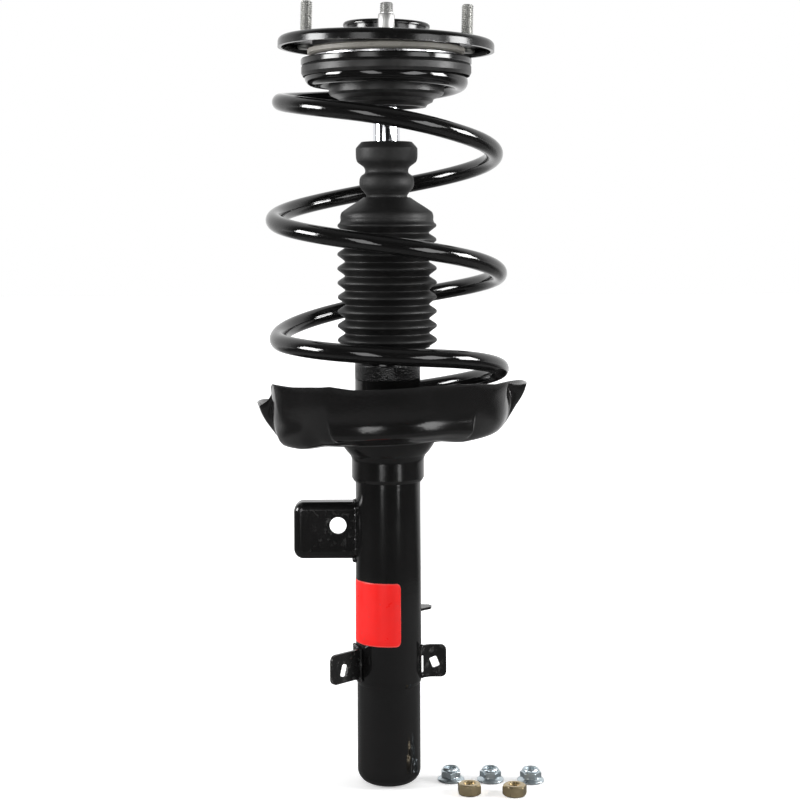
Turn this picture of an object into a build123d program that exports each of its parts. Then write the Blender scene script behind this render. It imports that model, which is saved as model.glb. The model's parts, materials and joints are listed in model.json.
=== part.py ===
from build123d import *
from math import cos, radians, sin
import os

os.makedirs("parts", exist_ok=True)

# A MacPherson strut standing on its closed lower end. The origin is the centre of that end, +Z is the
# strut axis, -Y is the side with the locating stud, -X the side with the anti-roll bar link bracket.

# ------------------------------------------------------------------ driving dimensions, mm

sheet = 3.0                      # pressed steel thickness
slip = 0.02                      # gap between two pieces of one body that fit together

# outer tube
clamp_radius = 25.5              # plain end that the knuckle clamps
tube_radius = 26.5               # the tube above it
tube_wall = 2.0
tube_end_round = 11.0
tube_step_height = 80.0
tube_top = 362.0

# damper inside the tube
bore_radius = 16.0               # piston bore of the pressure tube
pressure_radius = 18.0           # outside of the pressure tube
pressure_bottom = 12.0
pressure_top = 340.0
rod_radius = 11.0
rod_gap = 0.05                   # running clearance of the rod
rod_shoulder = 583.0             # where the rod steps down to its upper thread
rod_thread_radius = 7.0
rod_tip = 614.0
piston_shoulder = 298.0          # where the rod steps down to carry the piston
tenon_radius = 6.0
tenon_end = 269.0

# coil spring
wire_radius = 7.1

# lower spring seat: a pan tilted sideways about the Y axis
seat_tilt = 3.0
seat_height = 278.5              # underside of the floor on the strut axis
seat_shift = 3.0                 # the pan's centre lies this far to the +X side of the strut axis
seat_floor_radius = 84.0
near_wall_start = 196.0          # degrees round the pan where the tall wall starts and ends
near_wall_end = 350.0
pad_height = 4.0

# upper mount: the rubber lets the plate sit slightly tilted about the Y axis
mount_tilt = 1.6
plate_top = 601.5
plate_radius = 87.9
plate_rim = 9.0
stud_circle = 77.7
stud_radius = 5.0
stud_shank_radius = 5.4
stud_length = 34.6
locating_radius = 6.4
locating_shank_radius = 6.9
locating_length = 11.2
collar_radius = 35.2
collar_top = 12.8                # height of the collar's lip over the plate

# bearing
bearing_gap_height = 588.0       # level of the ball centres
ball_circle = 52.0
ball_radius = 2.5
ball_count = 40
isolator_radius = 69.0
seat_top_height = 580.0          # top of the rubber isolator, underside of the steel seat

# loose nuts
m10_tapping_radius = 4.25

# ------------------------------------------------------------------ reference planes


def upright(plane):
    """The plane through `plane`'s origin whose Y direction is `plane`'s normal, for revolved profiles."""
    return Plane(plane.origin, x_dir=plane.x_dir, z_dir=-plane.y_dir)


def tilted(height, angle):
    """A level plane at `height` on the strut axis, turned by `angle` degrees so its +X side drops."""
    turn = radians(angle)
    return Plane((0, 0, height), x_dir=(cos(turn), 0, -sin(turn)), z_dir=(sin(turn), 0, cos(turn)))


mount_plane = tilted(plate_top, mount_tilt)
mount_axis = Axis(mount_plane.origin, mount_plane.z_dir)
seat_plane = tilted(seat_height, -seat_tilt)
pan_centre = seat_plane.from_local_coords(Vector(seat_shift, 0, 0))
seat_axis = Axis(pan_centre, seat_plane.z_dir)

# ------------------------------------------------------------------ strut tube and what it holds

inner_round = tube_end_round - tube_wall
round_centre = clamp_radius - tube_end_round

with BuildPart() as strut_tube:
    with BuildSketch(Plane.XZ):
        with BuildLine():
            Line((0, 0), (round_centre, 0))
            RadiusArc((round_centre, 0), (clamp_radius, tube_end_round), -tube_end_round)
            Polyline(
                (clamp_radius, tube_end_round),
                (clamp_radius, tube_step_height),
                (tube_radius, tube_step_height + 3),
                (tube_radius, tube_top),
                (tube_radius - tube_wall, tube_top),
                (tube_radius - tube_wall, tube_step_height + 3),
                (clamp_radius - tube_wall, tube_step_height),
                (clamp_radius - tube_wall, tube_end_round),
            )
            RadiusArc((clamp_radius - tube_wall, tube_end_round), (round_centre, tube_wall), inner_round)
            Polyline((round_centre, tube_wall), (0, tube_wall), (0, 0))
        make_face()
    revolve(axis=Axis.Z)
strut_tube.part.label = "strut_tube"
export_step(strut_tube.part, "parts/strut_tube.step")

with BuildPart() as pressure_tube:
    with BuildSketch(Plane.XY.offset(pressure_bottom)):
        Circle(pressure_radius)
        Circle(bore_radius, mode=Mode.SUBTRACT)
    extrude(amount=pressure_top - pressure_bottom)
pressure_tube.part.label = "pressure_tube"
export_step(pressure_tube.part, "parts/pressure_tube.step")

base_valve_top = 20.0
base_valve_bore = 3.0
with BuildPart() as base_valve:
    with BuildSketch(Plane.XZ):
        Polygon(
            (base_valve_bore, 6), (9, 6), (12, tube_wall), (14, tube_wall), (14, 7), (pressure_radius, 9),
            (pressure_radius, pressure_bottom), (bore_radius - slip, pressure_bottom),
            (bore_radius - slip, base_valve_top), (base_valve_bore, base_valve_top),
            align=None,
        )
    revolve(axis=Axis.Z)
    with BuildSketch(Plane.XY.offset(base_valve_top)):
        with PolarLocations(8, 6):
            Circle(1.6)
    extrude(amount=-base_valve_top, mode=Mode.SUBTRACT)
base_valve.part.label = "base_valve"
export_step(base_valve.part, "parts/base_valve.step")

disc_sheet = 1.0
with BuildPart() as base_valve_disc:
    with BuildSketch(Plane.XY.offset(base_valve_top)):
        Circle(11.5)
        Circle(base_valve_bore, mode=Mode.SUBTRACT)
    extrude(amount=disc_sheet)
base_valve_disc.part.label = "base_valve_disc"
export_step(base_valve_disc.part, "parts/base_valve_disc.step")

rivet_top = base_valve_top + disc_sheet
with BuildPart() as base_valve_rivet:
    with BuildSketch(Plane.XZ):
        Polygon(
            (0, 4), (5, 4), (5, 6), (base_valve_bore, 6), (base_valve_bore, rivet_top),
            (5.5, rivet_top), (4.5, rivet_top + 2.5), (0, rivet_top + 2.5), align=None,
        )
    revolve(axis=Axis.Z)
base_valve_rivet.part.label = "base_valve_rivet"
export_step(base_valve_rivet.part, "parts/base_valve_rivet.step")

guide_bottom = pressure_top - 8
guide_top = pressure_top + 10
bush_radius = 13.0
tube_bore = tube_radius - tube_wall - slip
with BuildPart() as rod_guide:
    with BuildSketch(Plane.XZ):
        Polygon(
            (bush_radius, guide_bottom), (bore_radius - slip, guide_bottom),
            (bore_radius - slip, pressure_top),
            (tube_bore - 2, pressure_top), (tube_bore, pressure_top + 2), (tube_bore, guide_top),
            (bush_radius, guide_top), align=None,
        )
    revolve(axis=Axis.Z)
    with BuildSketch(Plane.XY.offset(guide_top)):
        with PolarLocations(21.5, 4):
            Circle(1.5)
    extrude(amount=-(guide_top - pressure_top), mode=Mode.SUBTRACT)
rod_guide.part.label = "rod_guide"
export_step(rod_guide.part, "parts/rod_guide.step")

with BuildPart() as guide_bush:
    with BuildSketch(Plane.XY.offset(guide_bottom + 1)):
        Circle(bush_radius)
        Circle(rod_radius + rod_gap, mode=Mode.SUBTRACT)
    extrude(amount=guide_top - guide_bottom - 1)
    chamfer(guide_bush.edges().filter_by(GeomType.CIRCLE).group_by(SortBy.RADIUS)[0], length=0.6)
guide_bush.part.label = "guide_bush"
export_step(guide_bush.part, "parts/guide_bush.step")

seal_top = tube_top - 1
seal_lip = 3.0
with BuildPart() as rod_seal:
    with BuildSketch(Plane.XZ):
        Polygon(
            (rod_radius + rod_gap, guide_top + seal_lip), (bush_radius + 3, guide_top),
            (tube_bore, guide_top), (tube_bore, seal_top - 1), (bush_radius + 3, seal_top - 1),
            (rod_radius + rod_gap, seal_top - seal_lip),
            align=None,
        )
    revolve(axis=Axis.Z)
rod_seal.part.label = "rod_seal"
export_step(rod_seal.part, "parts/rod_seal.step")

cap_radius = 28.5
cap_top = tube_top + 2.5
cap_skirt = tube_top - 14
cap_bore = rod_radius + 0.8
with BuildPart() as tube_cap:
    with BuildSketch(Plane.XZ):
        Polygon(
            (cap_bore, tube_top), (tube_radius + slip, tube_top), (tube_radius + slip, cap_skirt),
            (cap_radius, cap_skirt), (cap_radius, cap_top - 2), (cap_radius - 2, cap_top),
            (cap_bore, cap_top), align=None,
        )
    revolve(axis=Axis.Z)
    with BuildSketch(Plane.XY.offset(cap_top)):
        with PolarLocations(20, 6):
            Circle(1.8)
    extrude(amount=tube_top - cap_top, mode=Mode.SUBTRACT)
tube_cap.part.label = "tube_cap"
export_step(tube_cap.part, "parts/tube_cap.step")

# ------------------------------------------------------------------ rod and piston

with BuildPart() as piston_rod:
    with BuildSketch(Plane.XZ):
        Polygon(
            (0, tenon_end), (tenon_radius - 1, tenon_end), (tenon_radius, tenon_end + 1),
            (tenon_radius, piston_shoulder), (rod_radius, piston_shoulder), (rod_radius, rod_shoulder - 1),
            (rod_radius - 1, rod_shoulder), (rod_thread_radius, rod_shoulder),
            (rod_thread_radius, rod_tip - 1.5), (rod_thread_radius - 1.5, rod_tip), (0, rod_tip),
            align=None,
        )
    revolve(axis=Axis.Z)
piston_rod.part.label = "piston_rod"
export_step(piston_rod.part, "parts/piston_rod.step")

rebound_stop_top = guide_bottom - 0.2
with BuildPart() as rebound_stop:
    with BuildSketch(Plane.XZ):
        Polygon(
            (rod_radius, rebound_stop_top - 9), (13, rebound_stop_top - 9), (15, rebound_stop_top - 6),
            (15, rebound_stop_top), (rod_radius, rebound_stop_top), align=None,
        )
    revolve(axis=Axis.Z)
rebound_stop.part.label = "rebound_stop"
export_step(rebound_stop.part, "parts/rebound_stop.step")

piston_height = 14.0
piston_top = piston_shoulder - disc_sheet
piston_bottom = piston_top - piston_height
band_height = 8.0
band_depth = 1.2
band_radius = bore_radius - rod_gap
with BuildPart() as compression_disc:
    with BuildSketch(Plane.XY.offset(piston_top)):
        Circle(13)
        Circle(tenon_radius, mode=Mode.SUBTRACT)
    extrude(amount=disc_sheet)
compression_disc.part.label = "compression_disc"
export_step(compression_disc.part, "parts/compression_disc.step")

with BuildPart() as piston:
    with BuildSketch(Plane.XY.offset(piston_bottom)):
        Circle(bore_radius - 0.4)
        Circle(tenon_radius, mode=Mode.SUBTRACT)
    extrude(amount=piston_height)
    with BuildSketch(Plane.XY.offset(piston_bottom + (piston_height - band_height) / 2)):
        Circle(bore_radius)
        Circle(band_radius - band_depth, mode=Mode.SUBTRACT)
    extrude(amount=band_height, mode=Mode.SUBTRACT)
    with BuildSketch(Plane.XY.offset(piston_bottom)):
        with PolarLocations(10.5, 8):
            Circle(1.5)
    extrude(amount=piston_height, mode=Mode.SUBTRACT)
piston.part.label = "piston"
export_step(piston.part, "parts/piston.step")

with BuildPart() as piston_ring:
    with BuildSketch(Plane.XY.offset(piston_bottom + (piston_height - band_height) / 2)):
        Circle(band_radius)
        Circle(band_radius - band_depth, mode=Mode.SUBTRACT)
    extrude(amount=band_height)
piston_ring.part.label = "piston_ring"
export_step(piston_ring.part, "parts/piston_ring.step")

with BuildPart() as rebound_disc:
    with BuildSketch(Plane.XY.offset(piston_bottom - disc_sheet)):
        Circle(12.5)
        Circle(tenon_radius, mode=Mode.SUBTRACT)
    extrude(amount=disc_sheet)
rebound_disc.part.label = "rebound_disc"
export_step(rebound_disc.part, "parts/rebound_disc.step")

with BuildPart() as piston_nut:
    with BuildSketch(Plane.XY.offset(tenon_end + 1.5)):
        RegularPolygon(radius=9, side_count=6, major_radius=False)
        Circle(tenon_radius, mode=Mode.SUBTRACT)
    extrude(amount=piston_bottom - disc_sheet - tenon_end - 1.5)
piston_nut.part.label = "piston_nut"
export_step(piston_nut.part, "parts/piston_nut.step")

# ------------------------------------------------------------------ upper mount

collar_wall = 2.5
collar_bore = 28.5
collar_neck = 32.5
sleeve_radius = 14.0
sleeve_top = 598.0
bush_top = 3.0                   # above the plate's top face
bush_bottom = -12.0

with BuildPart() as mount_plate:
    with BuildSketch(mount_plane):
        Circle(plate_radius)
    extrude(amount=-plate_rim)
    fillet(mount_plate.faces().sort_by(mount_axis)[-1].edges(), radius=4.5)
    with BuildSketch(mount_plane.offset(-sheet)):
        Circle(plate_radius - sheet)
    extrude(amount=-plate_rim, mode=Mode.SUBTRACT)
    with BuildSketch(mount_plane):
        Circle(collar_neck + slip)
        with PolarLocations(stud_circle, 2, start_angle=30, angular_range=120, endpoint=True):
            Circle(stud_shank_radius)
        with Locations((0, -stud_circle)):
            Circle(locating_shank_radius)
    extrude(amount=-sheet, mode=Mode.SUBTRACT)
mount_plate.part.label = "mount_plate"
export_step(mount_plate.part, "parts/mount_plate.step")

collar_foot = 46.0
with BuildPart() as mount_collar:
    with BuildSketch(upright(mount_plane)):
        with BuildLine():
            Polyline(
                (collar_bore, collar_top - 3.2), (collar_bore, -sheet - 1.5), (collar_foot, -sheet - 1.5),
                (collar_foot, -sheet), (collar_neck, -sheet), (collar_neck, collar_top - 3.2),
                (collar_radius, collar_top - 3.2),
            )
            RadiusArc((collar_radius, collar_top - 3.2), (collar_radius - 1.6, collar_top), -2.4)
            Line((collar_radius - 1.6, collar_top), (collar_bore + 1.6, collar_top))
            RadiusArc((collar_bore + 1.6, collar_top), (collar_bore, collar_top - 3.2), -2.4)
        make_face()
    revolve(axis=mount_axis)
mount_collar.part.label = "mount_collar"
export_step(mount_collar.part, "parts/mount_collar.step")

with BuildPart() as inner_sleeve:
    with BuildSketch(Plane.XY.offset(rod_shoulder)):
        Circle(sleeve_radius)
        Circle(rod_thread_radius, mode=Mode.SUBTRACT)
    extrude(amount=sleeve_top - rod_shoulder)
    chamfer(inner_sleeve.faces().sort_by(Axis.Z)[-1].edges(), length=0.8)
inner_sleeve.part.label = "inner_sleeve"
export_step(inner_sleeve.part, "parts/inner_sleeve.step")

bearing_top = 594.0
with BuildPart() as mount_bush:
    with BuildSketch(upright(mount_plane)):
        Polygon(
            (10, bush_bottom), (collar_bore - 4, bush_bottom), (collar_bore - slip, bush_bottom + 4),
            (collar_bore - slip, bush_top), (22, bush_top - 2), (21, bush_top - 9), (10, bush_top - 9),
            align=None,
        )
    revolve(axis=mount_axis)
    with BuildSketch(Plane.XY.offset(rod_shoulder - 10)):
        Circle(sleeve_radius)
    extrude(amount=50, mode=Mode.SUBTRACT)
mount_bush.part.label = "mount_bush"
export_step(mount_bush.part, "parts/mount_bush.step")

pad_inner = 47.0
pad_outer = 60.0
with BuildPart() as mount_pad:
    with BuildSketch(Plane.XY.offset(bearing_top)):
        Circle(pad_outer)
        Circle(pad_inner, mode=Mode.SUBTRACT)
    extrude(amount=plate_top - bearing_top + sheet)
    split(bisect_by=mount_plane.offset(-sheet - slip), keep=Keep.BOTTOM)
mount_pad.part.label = "mount_pad"
export_step(mount_pad.part, "parts/mount_pad.step")

stud_head_radius = 7.1
stud_head_height = 3.0
with BuildPart() as body_studs:
    with BuildSketch(mount_plane):
        with PolarLocations(stud_circle, 2, start_angle=30, angular_range=120, endpoint=True):
            Circle(stud_radius)
    extrude(amount=stud_length)
    chamfer(body_studs.faces().sort_by(mount_axis)[-2:].edges(), length=1.5)
    with BuildSketch(mount_plane):
        with PolarLocations(stud_circle, 2, start_angle=30, angular_range=120, endpoint=True):
            Circle(stud_shank_radius)
    extrude(amount=-sheet)
    with BuildSketch(mount_plane.offset(-sheet)):
        with PolarLocations(stud_circle, 2, start_angle=30, angular_range=120, endpoint=True):
            Circle(stud_head_radius)
    extrude(amount=-stud_head_height)
    chamfer(body_studs.faces().sort_by(mount_axis)[:2].edges(), length=1.6)
body_studs.part.label = "body_studs"
export_step(body_studs.part, "parts/body_studs.step")

locating_thread_radius = 5.2
locating_thread_length = 8.5
with BuildPart() as locating_stud:
    with BuildSketch(mount_plane):
        with Locations((0, -stud_circle)):
            Circle(locating_radius)
    extrude(amount=locating_length)
    chamfer(locating_stud.faces().sort_by(mount_axis)[-1].edges(), length=0.8)
    with BuildSketch(mount_plane):
        with Locations((0, -stud_circle)):
            Circle(locating_shank_radius)
    extrude(amount=-sheet)
    with BuildSketch(mount_plane.offset(locating_length)):
        with Locations((0, -stud_circle)):
            Circle(locating_thread_radius)
    extrude(amount=locating_thread_length)
    chamfer(locating_stud.faces().sort_by(mount_axis)[-1].edges(), length=1.0)
    with BuildSketch(mount_plane.offset(-sheet)):
        with Locations((0, -stud_circle)):
            Circle(stud_head_radius)
    extrude(amount=-stud_head_height)
    chamfer(locating_stud.faces().sort_by(mount_axis)[0].edges(), length=1.6)
locating_stud.part.label = "locating_stud"
export_step(locating_stud.part, "parts/locating_stud.step")

washer_sheet = 2.5
with BuildPart() as rebound_washer:
    with BuildSketch(Plane.XY.offset(sleeve_top)):
        Circle(19)
        Circle(rod_thread_radius, mode=Mode.SUBTRACT)
    extrude(amount=washer_sheet)
    fillet(rebound_washer.edges().filter_by(GeomType.CIRCLE).group_by(SortBy.RADIUS)[-1], radius=0.8)
rebound_washer.part.label = "rebound_washer"
export_step(rebound_washer.part, "parts/rebound_washer.step")

rod_nut_seat = sleeve_top + washer_sheet
rod_nut_height = 11.0
with BuildPart() as rod_nut:
    with BuildSketch(Plane.XY.offset(rod_nut_seat)):
        RegularPolygon(radius=10.5, side_count=6, major_radius=False)
    extrude(amount=rod_nut_height)
    with BuildSketch(Plane.XZ):
        with Locations((0, rod_nut_seat + rod_nut_height)):
            Polygon((10.6, 0.1), (13, 0.1), (13, -1.6), align=None)
    revolve(axis=Axis.Z, mode=Mode.SUBTRACT)
    with BuildSketch(Plane.XY.offset(rod_nut_seat)):
        Circle(rod_thread_radius)
    extrude(amount=rod_nut_height, mode=Mode.SUBTRACT)
rod_nut.part.label = "rod_nut"
export_step(rod_nut.part, "parts/rod_nut.step")

# ------------------------------------------------------------------ steering bearing

race_gap = 0.05                  # running clearance of the balls in the upper groove
upper_ring_bottom = bearing_gap_height + 0.4
lower_ring_top = bearing_gap_height - 0.4
with BuildPart() as bearing_upper_ring:
    with BuildSketch(Plane.XZ):
        Polygon(
            (40, upper_ring_bottom), (61.5, upper_ring_bottom), (64, upper_ring_bottom + 1.2),
            (64, bearing_top - 1.2), (62.5, bearing_top), (40, bearing_top), align=None,
        )
        with Locations((ball_circle, bearing_gap_height)):
            Circle(ball_radius + race_gap, mode=Mode.SUBTRACT)
    revolve(axis=Axis.Z)
bearing_upper_ring.part.label = "bearing_upper_ring"
export_step(bearing_upper_ring.part, "parts/bearing_upper_ring.step")

with BuildPart() as bearing_lower_ring:
    with BuildSketch(Plane.XZ):
        Polygon(
            (44, 583), (60, 583), (60, lower_ring_top), (44, lower_ring_top), align=None,
        )
        with Locations((ball_circle, bearing_gap_height)):
            Circle(ball_radius, mode=Mode.SUBTRACT)
    revolve(axis=Axis.Z)
bearing_lower_ring.part.label = "bearing_lower_ring"
export_step(bearing_lower_ring.part, "parts/bearing_lower_ring.step")

ball_step = 360 / ball_count
with BuildPart() as bearing_balls:
    with BuildSketch(Plane.XZ):
        with Locations((ball_circle, bearing_gap_height)):
            Circle(ball_radius)
            with Locations((ball_radius, 0)):
                Rectangle(2 * ball_radius, 2 * ball_radius, mode=Mode.SUBTRACT)
    revolve(axis=Axis((ball_circle, 0, bearing_gap_height), (0, 0, 1)))
    with PolarLocations(0, ball_count - 1, start_angle=ball_step, angular_range=360 - ball_step):
        add(bearing_balls.part)
bearing_balls.part.label = "bearing_balls"
export_step(bearing_balls.part, "parts/bearing_balls.step")

# ------------------------------------------------------------------ upper spring seat and isolator

lip_radius = 69.3
lip_top = seat_top_height + 5.5
hub_radius = 33.0
with BuildPart() as upper_spring_seat:
    with BuildSketch(Plane.XZ):
        Polygon(
            (hub_radius - 2.5, seat_top_height - 18), (hub_radius, seat_top_height - 18),
            (hub_radius, seat_top_height), (lip_radius, seat_top_height), (lip_radius, lip_top),
            (lip_radius - 2.5, lip_top), (lip_radius - 2.5, seat_top_height + sheet),
            (hub_radius - 2.5, seat_top_height + sheet), align=None,
        )
    revolve(axis=Axis.Z)
    fillet(upper_spring_seat.edges().filter_by(GeomType.CIRCLE).group_by(SortBy.RADIUS)[-1], radius=1.2)
upper_spring_seat.part.label = "upper_spring_seat"
export_step(upper_spring_seat.part, "parts/upper_spring_seat.step")

channel_top = 577.5              # rubber face that the top coil bears on
channel_wall = 67.4
hub_outside = 46.8
hub_bottom = 546.0
with BuildPart() as spring_isolator:
    with BuildSketch(Plane.XZ):
        with BuildLine():
            Polyline(
                (hub_radius + slip, seat_top_height - slip), (isolator_radius - 1, seat_top_height - slip),
                (isolator_radius, seat_top_height - 1.5), (isolator_radius, 573.5),
                (channel_wall + 0.2, 570.8), (channel_wall, 571), (channel_wall, channel_top - 3),
            )
            RadiusArc((channel_wall, channel_top - 3), (channel_wall - 3, channel_top), -3)
            Line((channel_wall - 3, channel_top), (hub_outside + 2, channel_top))
            RadiusArc((hub_outside + 2, channel_top), (hub_outside, channel_top - 2), 2)
            Polyline(
                (hub_outside, channel_top - 2), (hub_outside, 557.5), (hub_outside - 1.5, 555.5),
                (38.5, 552.5), (37.4, 550), (33.5, 548.2), (32, hub_bottom), (28, hub_bottom), (26, 549),
                (26, seat_top_height - 19), (hub_radius + slip, seat_top_height - 19),
                (hub_radius + slip, seat_top_height - slip),
            )
        make_face()
    revolve(axis=Axis.Z)
spring_isolator.part.label = "spring_isolator"
export_step(spring_isolator.part, "parts/spring_isolator.step")

# ------------------------------------------------------------------ coil spring

# Stations down the wire: degrees round the axis, radius and height of the wire's centre. The angle grows
# as the wire goes down, which makes a left-hand coil.
coil_stations = (
    (100, 59.3, 570.2), (180, 59.3, 570.2), (270, 59.3, 569.2), (360, 59.3, 566.5), (450, 70.5, 560.5),
    (540, 85.3, 551), (585, 86, 543), (630, 86.8, 533.6), (675, 87, 519.8), (720, 87.4, 507),
    (810, 89.8, 482), (900, 91.2, 456), (990, 91, 435.6), (1035, 90.6, 424.1), (1080, 90.2, 410),
    (1170, 88.8, 385), (1260, 88.4, 359.8), (1305, 89.3, 355.2), (1350, 90.2, 351.4), (1395, 90.8, 345.6),
    (1440, 91.4, 333), (1500, 90, 313), (1545, 86.5, 301.5), (1590, 82.5, 293.2), (1635, 80, 289.4),
    (1700, 79.5, 292.8),
)


def coil_centre(angle):
    """The wire's centre at `angle`, on a smooth cubic through the stations on either side."""
    last = len(coil_stations) - 1
    low = max(i for i in range(last) if coil_stations[i][0] <= angle)
    span = coil_stations[low + 1][0] - coil_stations[low][0]
    t = (angle - coil_stations[low][0]) / span

    def value(column):
        def slope(i):
            before, after = coil_stations[max(i - 1, 0)], coil_stations[min(i + 1, last)]
            return (after[column] - before[column]) / (after[0] - before[0]) * span

        start, end = coil_stations[low][column], coil_stations[low + 1][column]
        return (
            start * (2 * t**3 - 3 * t**2 + 1) + end * (3 * t**2 - 2 * t**3)
            + slope(low) * (t**3 - 2 * t**2 + t) + slope(low + 1) * (t**3 - t**2)
        )

    radius, height = value(1), value(2)
    return (radius * cos(radians(angle)), radius * sin(radians(angle)), height)


coil_step = 25
coil_angles = range(coil_stations[0][0], coil_stations[-1][0] + 1, coil_step)
with BuildPart() as coil_spring:
    with BuildLine() as coil_path:
        Spline(*[coil_centre(angle) for angle in coil_angles])
    with BuildSketch(Plane(origin=coil_path.line @ 0, z_dir=coil_path.line % 0)):
        Circle(wire_radius)
    sweep(path=coil_path.line, is_frenet=True)
coil_spring.part.label = "coil_spring"
export_step(coil_spring.part, "parts/coil_spring.step")

# ------------------------------------------------------------------ bump stop and dust boot

bump_bore = rod_radius + 0.3
with BuildPart() as bump_stop:
    with BuildSketch(Plane.XZ):
        with BuildLine():
            Polyline((bump_bore, 518), (21, 518), (24.9, 513), (25.1, 508.5), (24.6, 502.5), (18.2, 496.5))
            RadiusArc((18.2, 496.5), (21.5, 490.5), 4.5)
            RadiusArc((21.5, 490.5), (21.5, 479.5), -6)
            RadiusArc((21.5, 479.5), (18, 473.5), 5)
            Polyline(
                (18, 473.5), (16.6, 473.5), (16.6, 464), (15.2, 459), (bump_bore, 459), (bump_bore, 518),
            )
        make_face()
    revolve(axis=Axis.Z)
bump_stop.part.label = "bump_stop"
export_step(bump_stop.part, "parts/bump_stop.step")

boot_skin = 1.4
ridge_radius = 40.4
valley_radius = 34.4
ridge_count = 9
ridge_pitch = 11.6
ridge_top_height = 450.0
boot_bottom = 351.0
half_pitch = ridge_pitch / 2
with BuildPart() as dust_boot:
    with BuildSketch(Plane.XZ):
        with BuildLine() as boot_skin_line:
            Polyline((18.2, 473.2), (18.2, 471.8), (36.2, 461.5), (37.9, 459.5), (37.9, 453.5))
            for ridge in range(ridge_count):
                ridge_height = ridge_top_height - ridge * ridge_pitch
                ridge_start = boot_skin_line.line @ 1
                ridge_edge = ridge_radius - 0.7
                Line(ridge_start, (ridge_edge, ridge_height + 1.3))
                RadiusArc((ridge_edge, ridge_height + 1.3), (ridge_edge, ridge_height - 1.3), 1.6)
                Line((ridge_edge, ridge_height - 1.3), (valley_radius, ridge_height - half_pitch))
            Line((valley_radius, ridge_height - half_pitch), (valley_radius, boot_bottom))
            offset(amount=boot_skin, side=Side.RIGHT, closed=True)
        make_face()
    revolve(axis=Axis.Z)
dust_boot.part.label = "dust_boot"
export_step(dust_boot.part, "parts/dust_boot.step")

# ------------------------------------------------------------------ lower spring seat

near_arc = near_wall_end - near_wall_start
seat_neck_radius = 40.0
box_radius = 97.0
box_start = 242.0
box_arc = 70.0
box_bottom = 6.0
box_height = 24.0
box_foot = seat_floor_radius - 4
pan_middle = 20.0                # inner end of the revolved floor, inside the opening for the tube
tube_opening = 27.2


def seat_profile_plane(angle):
    """The upright plane through the pan's tilted axis at `angle` degrees round it."""
    outward = seat_plane.x_dir * cos(radians(angle)) + seat_plane.y_dir * sin(radians(angle))
    return Plane(pan_centre, x_dir=outward, z_dir=outward.cross(seat_plane.z_dir))


with BuildPart() as lower_spring_seat:
    # far wall: lower and flared, it ends in the two ears
    with BuildSketch(seat_profile_plane(near_wall_end)):
        with BuildLine():
            FilletPolyline(
                (pan_middle, 0), (seat_floor_radius - 2, 0), (92, 6.5), (101, 20), (108, 29), (112, 36),
                radius=6,
            )
            offset(amount=sheet, side=Side.LEFT, closed=True)
        make_face()
    revolve(axis=seat_axis, revolution_arc=360 - near_arc)
    # the rim of the far wall dips towards the back
    with BuildSketch(upright(seat_plane)):
        with BuildLine():
            ThreePointArc((-125, 40), (0, 12), (125, 40))
            Polyline((125, 40), (125, 60), (-125, 60), (-125, 40))
        make_face()
    extrude(amount=-130, mode=Mode.SUBTRACT)
    # near wall: tall and steep
    with BuildSketch(seat_profile_plane(near_wall_start)):
        with BuildLine():
            FilletPolyline(
                (pan_middle, 0), (seat_floor_radius - 2, 0), (93, 7), (98.5, 20), (104, 50), radius=6
            )
            offset(amount=sheet, side=Side.LEFT, closed=True)
        make_face()
    revolve(axis=seat_axis, revolution_arc=near_arc)
    # its rim is highest at the -X end
    with BuildSketch(upright(seat_plane)):
        with BuildLine():
            ThreePointArc((-105, 50), (0, 44), (115, 44.5))
            Polyline((115, 44.5), (115, 60), (-105, 60), (-105, 50))
        make_face()
    extrude(amount=130, mode=Mode.SUBTRACT)
    # a box pressed outwards at the foot of the near wall
    with BuildSketch(seat_profile_plane(box_start)):
        Polygon(
            (box_foot, sheet), (box_foot + 2, sheet), (box_radius - sheet, box_bottom + sheet),
            (box_radius - sheet, box_height), (box_foot, box_height), align=None,
        )
    revolve(axis=seat_axis, revolution_arc=box_arc, mode=Mode.SUBTRACT)
    with BuildSketch(seat_profile_plane(box_start)):
        with BuildLine():
            FilletPolyline(
                (box_foot, 0), (box_radius, box_bottom), (box_radius, box_height),
                (box_radius - 2, box_height + 3), radius=2,
            )
            offset(amount=sheet, side=Side.LEFT, closed=True)
        make_face()
    revolve(axis=seat_axis, revolution_arc=box_arc)
    with BuildSketch(Plane.XY.offset(seat_height - 10)):
        Circle(tube_opening)
    extrude(amount=30, mode=Mode.SUBTRACT)
lower_spring_seat.part.label = "lower_spring_seat"
export_step(lower_spring_seat.part, "parts/lower_spring_seat.step")

with BuildPart() as lower_spring_pad:
    with BuildSketch(seat_profile_plane(150)):
        Polygon(
            (64, sheet), (79, sheet), (79, sheet + pad_height - 1), (78, sheet + pad_height),
            (65, sheet + pad_height), (64, sheet + pad_height - 1), align=None,
        )
    revolve(axis=seat_axis, revolution_arc=200)
lower_spring_pad.part.label = "lower_spring_pad"
export_step(lower_spring_pad.part, "parts/lower_spring_pad.step")

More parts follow.
